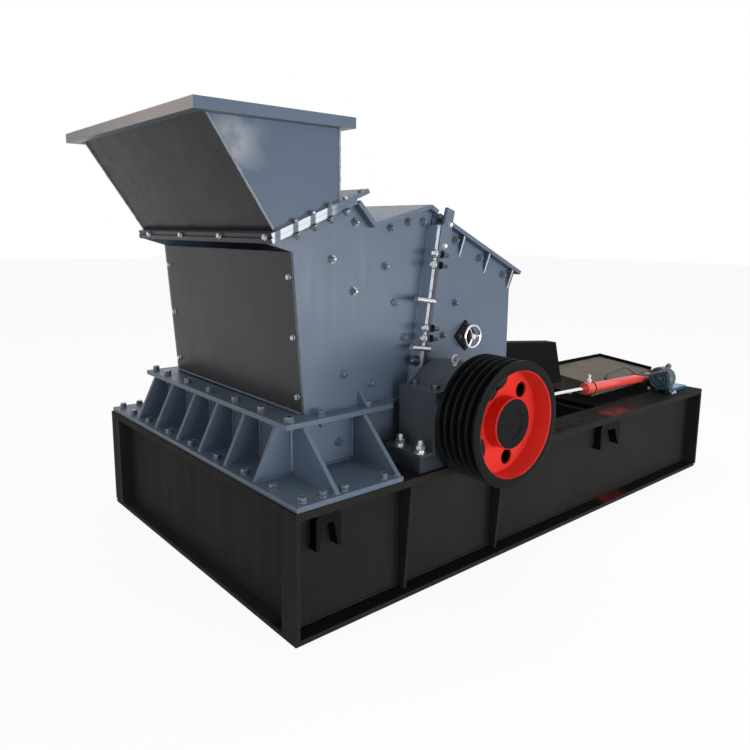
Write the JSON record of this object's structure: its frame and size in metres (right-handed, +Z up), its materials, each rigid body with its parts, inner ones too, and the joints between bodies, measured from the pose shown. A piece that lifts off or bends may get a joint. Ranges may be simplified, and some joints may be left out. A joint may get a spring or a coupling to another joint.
{
  "type": "sand making machine",
  "caption": "Horizontal-shaft sand making crusher on a box skid, with a feed hopper, a grooved belt pulley, a hydraulically opened rear casing and a small power pack.",
  "frame": {"origin": "on the ground under the middle of the skid", "axes": "+Z up, +X along the skid from the feed end to the hydraulic end, the belt pulley on the -Y side"},
  "size_m": [3.233, 1.946, 1.868],
  "materials": {
    "blue_paint": "blue-grey gloss machine paint",
    "dark_paint": "very dark blue-grey satin paint",
    "black_frame": "black satin paint",
    "red_paint": "red gloss paint",
    "pulley_iron": "turned iron, oiled dark, web and rim inside painted red",
    "bare_steel": "machined steel",
    "worn_iron": "rough cast hammer iron",
    "bright_steel": "plated handwheel",
    "chrome_rod": "polished hard chrome",
    "teal_paint": "teal-blue gloss paint",
    "pump_blue": "bright blue paint",
    "dusty_paint": "dark paint under tan dust",
    "hose_rubber": "dull grey rubber hose"
  },
  "bodies": {
    "machine_frame": {"anchor_bracket": "black_frame", "base_flange": "blue_paint", "bearing_covers": "dark_paint", "bearing_seats": "blue_paint", "casing_far_wall": "blue_paint", "casing_front": "dark_paint", "casing_near_wall": "blue_paint", "casing_roof": "blue_paint", "deck_beam": "black_frame", "fan_cover": "teal_paint", "far_bearing_base": "dark_paint", "far_bearing_cap": "dark_paint", "feed_gussets": "blue_paint", "fixed_parting_flange": "blue_paint", "hinge_beam": "black_frame", "hinge_lugs": "black_frame", "hopper_body": "blue_paint", "hopper_flange": "blue_paint", "hopper_rim": "blue_paint", "hopper_seat": "blue_paint", "lifting_hooks": "black_frame", "lower_housing": "blue_paint", "mid_flange": "blue_paint", "near_bearing_base": "dark_paint", "near_bearing_cap": "dark_paint", "oil_tank": "dusty_paint", "pump_block": "pump_blue", "pump_motor": "teal_paint", "rear_deck": "black_frame", "return_hose": "hose_rubber", "side_gussets": "blue_paint", "skid_far_beam": "black_frame", "skid_feed_beam": "black_frame", "skid_middle_beam": "black_frame", "skid_near_beam": "black_frame", "skid_rear_beam": "black_frame", "skid_side_ribs": "black_frame", "tank_lip": "dusty_paint"},
    "rotor": {"shaft": "bare_steel", "pulley": "pulley_iron", "pulley_bush": "bare_steel", "rotor_discs": "bare_steel", "rotor_hammers": "worn_iron"},
    "rear_casing": {"rear_near_wall": "blue_paint", "rear_far_wall": "blue_paint", "rear_roof": "blue_paint", "rear_back": "blue_paint", "hinged_parting_flange": "blue_paint", "rear_box": "black_frame", "hinge_arms": "black_frame", "rod_fork": "red_paint", "roof_gussets": "blue_paint", "wheel_seat": "black_frame"},
    "handwheel": {"handwheel": "bright_steel"},
    "cylinder_barrel": {"barrel": "red_paint", "gland": "red_paint"},
    "cylinder_rod": {"rod": "chrome_rod", "rod_eye": "red_paint"}
  },
  "joints": [
    {"name": "rotor_spin", "type": "hinge", "parent": "machine_frame", "child": "rotor", "pos_m": [-0.605, 0, 0.701], "axis": [0, 1, 0], "continuous": true},
    {"name": "casing_open", "type": "hinge", "parent": "machine_frame", "child": "rear_casing", "pos_m": [0.271, 0, 0.463], "axis": [0, 1, 0], "range_deg": [0, 45]},
    {"name": "wheel_turn", "type": "hinge", "parent": "rear_casing", "child": "handwheel", "pos_m": [-0.358, -0.617, 0.974], "axis": [0, 1, 0], "continuous": true},
    {"name": "cylinder_tilt", "type": "hinge", "parent": "machine_frame", "child": "cylinder_barrel", "pos_m": [1.37, -0.62, 0.562], "axis": [0, 1, 0], "range_deg": [0, 4.5]},
    {"name": "rod_slide", "type": "slide", "parent": "cylinder_barrel", "child": "cylinder_rod", "axis": [0.9994, 0, -0.0339], "range_m": [0, 0.14]}
  ],
  "couplings": [
    {"joint": "cylinder_tilt", "follows": "casing_open", "ratio": 0.081928},
    {"joint": "rod_slide", "follows": "casing_open", "m_per_rad": 0.16918}
  ]
}
